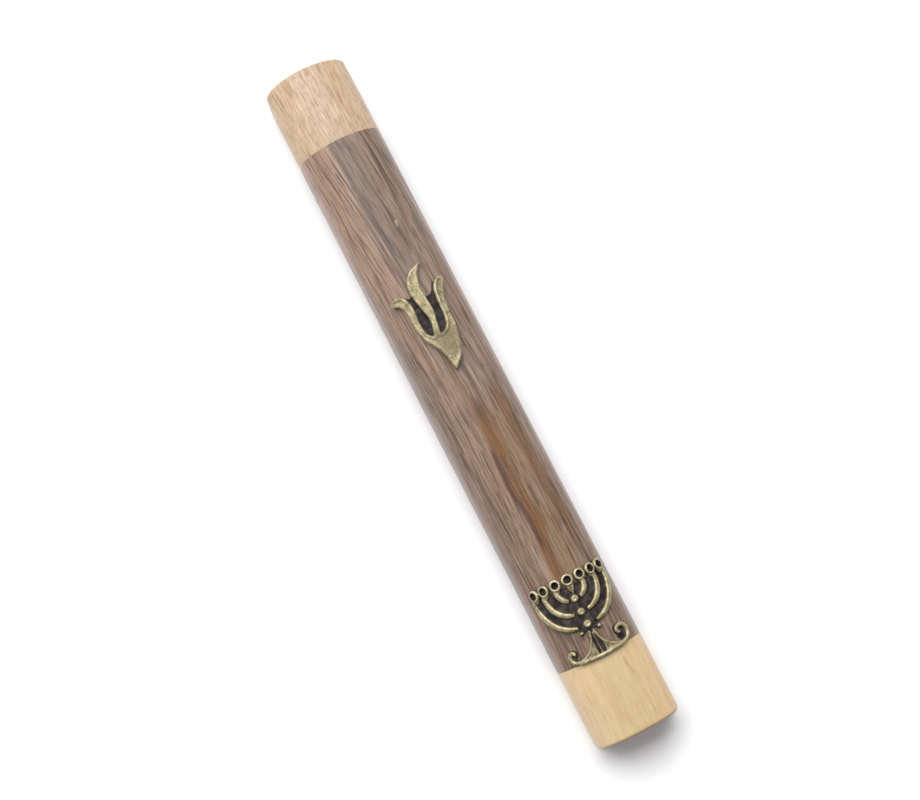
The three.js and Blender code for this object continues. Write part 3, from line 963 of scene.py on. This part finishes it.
# For each side: its curl, the radius of the knob that ends it, and the x and radius of the disc
# behind it.
CURLS = {-1: (LEFT_CURL, 0.42, 5.6, 0.8), 1: (RIGHT_CURL, 0.45, 5.6, 1.2)}
FOOT_WEB = (
    (-0.5, -11), (-0.9, -13), (-1.5, -14.4), (-4.6, -16.2), (-4, -16.7), (0, -17),
    (4, -16.7), (4.6, -16.2), (1.5, -14.4), (0.9, -13), (0.5, -11),
)
SILL = ((-5, -16.3), (-3, -16.55), (0, -16.7), (3, -16.6), (5, -16.4))


def bowl(reach, drop, side, stop, steps=22):
    """Half of a branch, from its cup down and in to where it stops short of the stem."""
    power = 2 / BRANCH_FULLNESS
    last = math.acos((stop / reach) ** (1 / power))
    line = []
    for a in np.linspace(0, last, steps):
        line.append((side * around(reach * math.cos(a) ** power), -drop * math.sin(a) ** power))
    return line


def taper(count, *values):
    return np.interp(np.linspace(0, 1, count), np.linspace(0, 1, len(values)), values)


def menorah_backing(flat):
    """The solid plate between the outer branches."""
    left_reach, right_reach, drop = BRANCHES[-1][:3]
    right = bowl(right_reach - 0.2, drop - 0.1, 1, 0.01)
    left = bowl(left_reach - 0.2, drop - 0.1, -1, 0.01)
    outline = [(u, z - 0.45) if z == 0 else (u, z) for u, z in right + left[::-1]]
    flat.slab(outline, 0.0, PLATE_TOP)


def menorah_branches(flat):
    """The six branches. Returns each cup's x, and how far its foot leans toward its branch."""
    cups = [(MIDDLE_CUP, 0.0)]
    for left_reach, right_reach, drop, places, stop in BRANCHES:
        for side, reach, cup in ((-1, left_reach, places[0]), (1, right_reach, places[1])):
            path = bowl(reach, drop, side, stop)
            path[0] = (around((side * reach + cup) / 2), 0.1)
            half_widths = taper(len(path), 0.5, 0.64, 0.68, 0.64, 0.5)
            flat.ridge(path, half_widths, taper(len(path), 1.1, 1.15, 1.1, 0.85))
            cups.append((cup, (side * reach - cup) * 0.5))
    return cups


def menorah_cups(flat, cups):
    """Open cups on short feet. Returns each one's place round the crown and its size."""
    bowls = []
    for cup, lean in cups:
        u = around(cup)
        size = 0.95 - 0.03 * abs(cup)
        bowls.append((u, size))
        for level in CUP_LEVELS:
            flat.torus(u, CUP_Z, size, CUP_TALL, CUP_TUBE, level)
        flat.slab(disc(u, CUP_Z, size), 0.0, 0.45)
        foot = CUP_Z - CUP_TALL
        flat.ridge([(u, foot + 0.1), (u + lean, foot - 0.8)], [0.8, 0.5], [0.95, 0.95])
    return bowls


def menorah_stem(flat):
    """A goblet under the middle cup, a stem with three bosses, and leaves and beads at its neck."""
    flat.ridge([(MIDDLE_CUP, 0), (MIDDLE_CUP, -1.2), (0.2, -2.6)], [0.8, 0.55, 0.25], [0.8, 0.75, 0.7])
    for side in (-1, 1):
        rib = [(MIDDLE_CUP + side * 0.75, 0.2), (MIDDLE_CUP + side * 0.45, -1.2), (0.25, -2.4)]
        flat.ridge(rib, [0.2, 0.2, 0.2], [1.05, 0.95, 0.8])
    flat.ridge([(0, -2.4), (0, -10.9)], [0.7, 0.7], [0.5, 0.5])
    for z in BOSSES:
        flat.dome(0, z, 0.98, 0.0, CUP_TOP, dimple=0.5)
    flat.slab(disc(0, -9.8, 1.4), 0.0, PLATE_TOP)
    for side in (-1, 1):
        leaf = [(side * 0.5, -9.5), (side * 1.4, -10), (side * 1.9, -10.8)]
        flat.ridge(leaf, [0.6, 0.6, 0.5], [0.5, 0.5, 0.4])
        flat.dome(side * 1.95, -10.8, 0.58, 0.0, 1.2)


def menorah_foot(flat):
    """Bright outer edges that run on into the curls, a web of flat ribs between them, and the sill."""
    for side, (curl, knob, behind, behind_radius) in CURLS.items():
        edge = spline([(side * x, z) for x, z in FOOT_EDGE] + [(around(x), z) for x, z in curl])
        half_widths = taper(len(edge), 0.3, 0.34, 0.44, 0.48, 0.42)
        flat.ridge(edge, half_widths, taper(len(edge), 0.95, 1.0, 1.1, 1.15, 1.2))
        flat.dome(*edge[-1], knob, 0.0, 1.25)
        flat.slab(disc(side * around(behind), -14.6, behind_radius), 0.0, 0.3)
    for fan in (LEFT_FAN, RIGHT_FAN):
        flat.slab(fan, 0.0, FAN_TOP)
    flat.ridge([(0.05, -11.4), (0.1, -13.5), (0.15, -16.5)], [0.14, 0.17, 0.26], [0.85, 0.8, 0.75])
    flat.slab(FOOT_WEB, 0.0, PLATE_TOP)
    sill = spline(SILL)
    flat.ridge(sill, [0.5] * len(sill), [1.1] * len(sill))


def menorah_emblem(material):
    flat = Flat()
    menorah_backing(flat)
    bowls = menorah_cups(flat, menorah_branches(flat))
    menorah_stem(flat)
    menorah_foot(flat)
    piece = flat.fused("menorah_casting")
    u, z, height = points_of(piece).T
    relief = height / CUP_TOP
    for centre, size in bowls:  # the cups' holes are dark inside
        out = np.hypot((u - centre) / size, (z - CUP_Z) / CUP_TALL)
        relief *= 0.25 + 0.75 * smooth_step(out, 0.8, 0.95)
    marks = (relief, smooth_step(height, 0.85, 1.3), 0.0)
    bend_and_place(piece, MENORAH_Z, marks, material, "menorah_emblem")


# ---- dowels and pads ----------------------------------------------------------------------------

FLUTES = 12
FLUTE_DEPTH = 0.12
DOWEL_STEPS = 72
DOWEL_CHAMFER = 0.6
PAD_CORNER = 1.5
PAD_PINCH = 0.12
PAD_LEVELS = 7


def fluted_dowel(node, material):
    low, high = box_mm(node)
    centre = (low + high) / 2
    radius = (high.x - low.x) / 2

    def ring(z, inset):
        points = []
        for a in full_turn(DOWEL_STEPS):
            r = radius - inset - FLUTE_DEPTH * (0.5 - 0.5 * math.cos(FLUTES * a))
            points.append((centre.x + r * math.cos(a), centre.y + r * math.sin(a), z))
        return points

    rings = [
        ring(low.z, DOWEL_CHAMFER),
        ring(low.z + DOWEL_CHAMFER, 0.0),
        ring(high.z - DOWEL_CHAMFER, 0.0),
        ring(high.z, DOWEL_CHAMFER),
    ]
    piece = piece_from(node + "_fluted", *loft(rings), material)
    place(piece, "case", node)


def foam_pad(node, material):
    """A die-cut square of foam tape, pinched in a little round its edge."""
    low, high = box_mm(node)
    centre = (low + high) / 2
    rings = []
    for i in range(PAD_LEVELS):
        share = i / (PAD_LEVELS - 1)
        pinch = PAD_PINCH * math.sin(math.pi * share)
        outline = rounded_rectangle(high.x - pinch, (high.z - low.z) / 2 - pinch, PAD_CORNER)
        rings.append([(x, low.y + share * (high.y - low.y), centre.z + z) for x, z in outline])
    piece = piece_from(node + "_foam", *loft(rings), material, 50)
    place(piece, "case", node)


# ---- build --------------------------------------------------------------------------------------

walnut_body()
end_block("top_block_wood", "top_end_block", 1, beech_top)
end_block("bottom_block_wood", "bottom_end_block", -1, beech_bottom)
back_cover()
scroll()
brass = brass_material()
shin_emblem(brass)
menorah_emblem(brass)
bare_beech = dowel_material()
for end in ("top", "bottom"):
    for hand in ("left", "right"):
        fluted_dowel(f"{end}_dowel_{hand}", bare_beech)
foam = foam_material()
for level in ("upper", "lower"):
    foam_pad(f"{level}_adhesive_pad", foam)


# ---- stage: a pale surface just behind the case, open where the case covers it ------------------

BACKDROP_REACH = 3000.0
BACKDROP_Y = 0.05
BACKDROP_OVERLAP = 1.5  # how far it runs in behind the case
CORNERS = ((-1, -1), (1, -1), (1, 1), (-1, 1))


def backdrop():
    """It shows only its front, so that the case's back can be looked at through it."""
    half_x, half_z = HALF_WIDTH - BACKDROP_OVERLAP, END_TOP - BACKDROP_OVERLAP
    outer = [(x * BACKDROP_REACH, BACKDROP_Y, z * BACKDROP_REACH) for x, z in CORNERS]
    inner = [(x * half_x, BACKDROP_Y, z * half_z) for x, z in CORNERS]
    faces = [(i, (i + 1) % 4, 4 + (i + 1) % 4, 4 + i) for i in range(4)]
    shade = Shade("pale_surface", Roughness=0.9, Specular_IOR_Level=0.1)
    shade.colour(srgb(246, 246, 247))
    clear = shade.node("ShaderNodeBsdfTransparent").outputs[0]
    seen_from_behind = shade.node("ShaderNodeNewGeometry").outputs["Backfacing"]
    sides = {0: seen_from_behind, 1: shade.shader.outputs[0], 2: clear}
    blend = shade.node("ShaderNodeMixShader", sides)
    shade.feed(shade.tree.nodes["Material Output"].inputs["Surface"], blend.outputs[0])
    mesh = bpy.data.meshes.new("pale_surface")
    mesh.from_pydata([tuple(np.array(p) * MM) for p in outer + inner], [], faces)
    mesh.materials.append(shade.material)
    if mesh.polygons[0].normal.y > 0:
        mesh.flip_normals()
    sheet = bpy.data.objects.new("pale_surface", mesh)
    bpy.context.scene.collection.objects.link(sheet)


def area_light(name, distance_mm, tilt, lean, size_mm, watts):
    """A soft light over the case, size_mm across and along it.

    The angles, in degrees, tilt it toward the case's top end and lean it to the right.
    """
    data = bpy.data.lights.new(name, "AREA")
    data.shape = "RECTANGLE"
    data.size, data.size_y = (side * MM for side in size_mm)
    data.energy = watts
    lamp = bpy.data.objects.new(name, data)
    bpy.context.scene.collection.objects.link(lamp)
    tilt, lean = math.radians(tilt), math.radians(lean)
    away = Vector((math.sin(lean), -math.cos(lean) * math.cos(tilt), math.cos(lean) * math.sin(tilt)))
    lamp.location = away * distance_mm * MM
    lamp.rotation_mode = "QUATERNION"
    lamp.rotation_quaternion = (-away).to_track_quat("-Z", "Y")
    lamp.visible_camera = False


WORLD_SEEN = 0.93


def soft_world(strength):
    """Even white light from all sides, seen as nearly white behind the case."""
    world = bpy.data.worlds.new("soft_studio")
    bpy.context.scene.world = world
    world.use_nodes = True
    nodes, links = world.node_tree.nodes, world.node_tree.links
    seen = nodes.new("ShaderNodeLightPath").outputs["Is Camera Ray"]
    level = nodes.new("ShaderNodeMapRange")
    level.inputs["To Min"].default_value = strength
    level.inputs["To Max"].default_value = WORLD_SEEN
    links.new(seen, level.inputs["Value"])
    nodes["Background"].inputs["Color"].default_value = (1.0, 1.0, 1.0, 1.0)
    links.new(level.outputs["Result"], nodes["Background"].inputs["Strength"])


backdrop()
area_light("window", distance_mm=1800, tilt=33, lean=-2, size_mm=(2200, 1250), watts=54.0)
soft_world(0.36)

bpy.context.scene.view_settings.view_transform = "Standard"
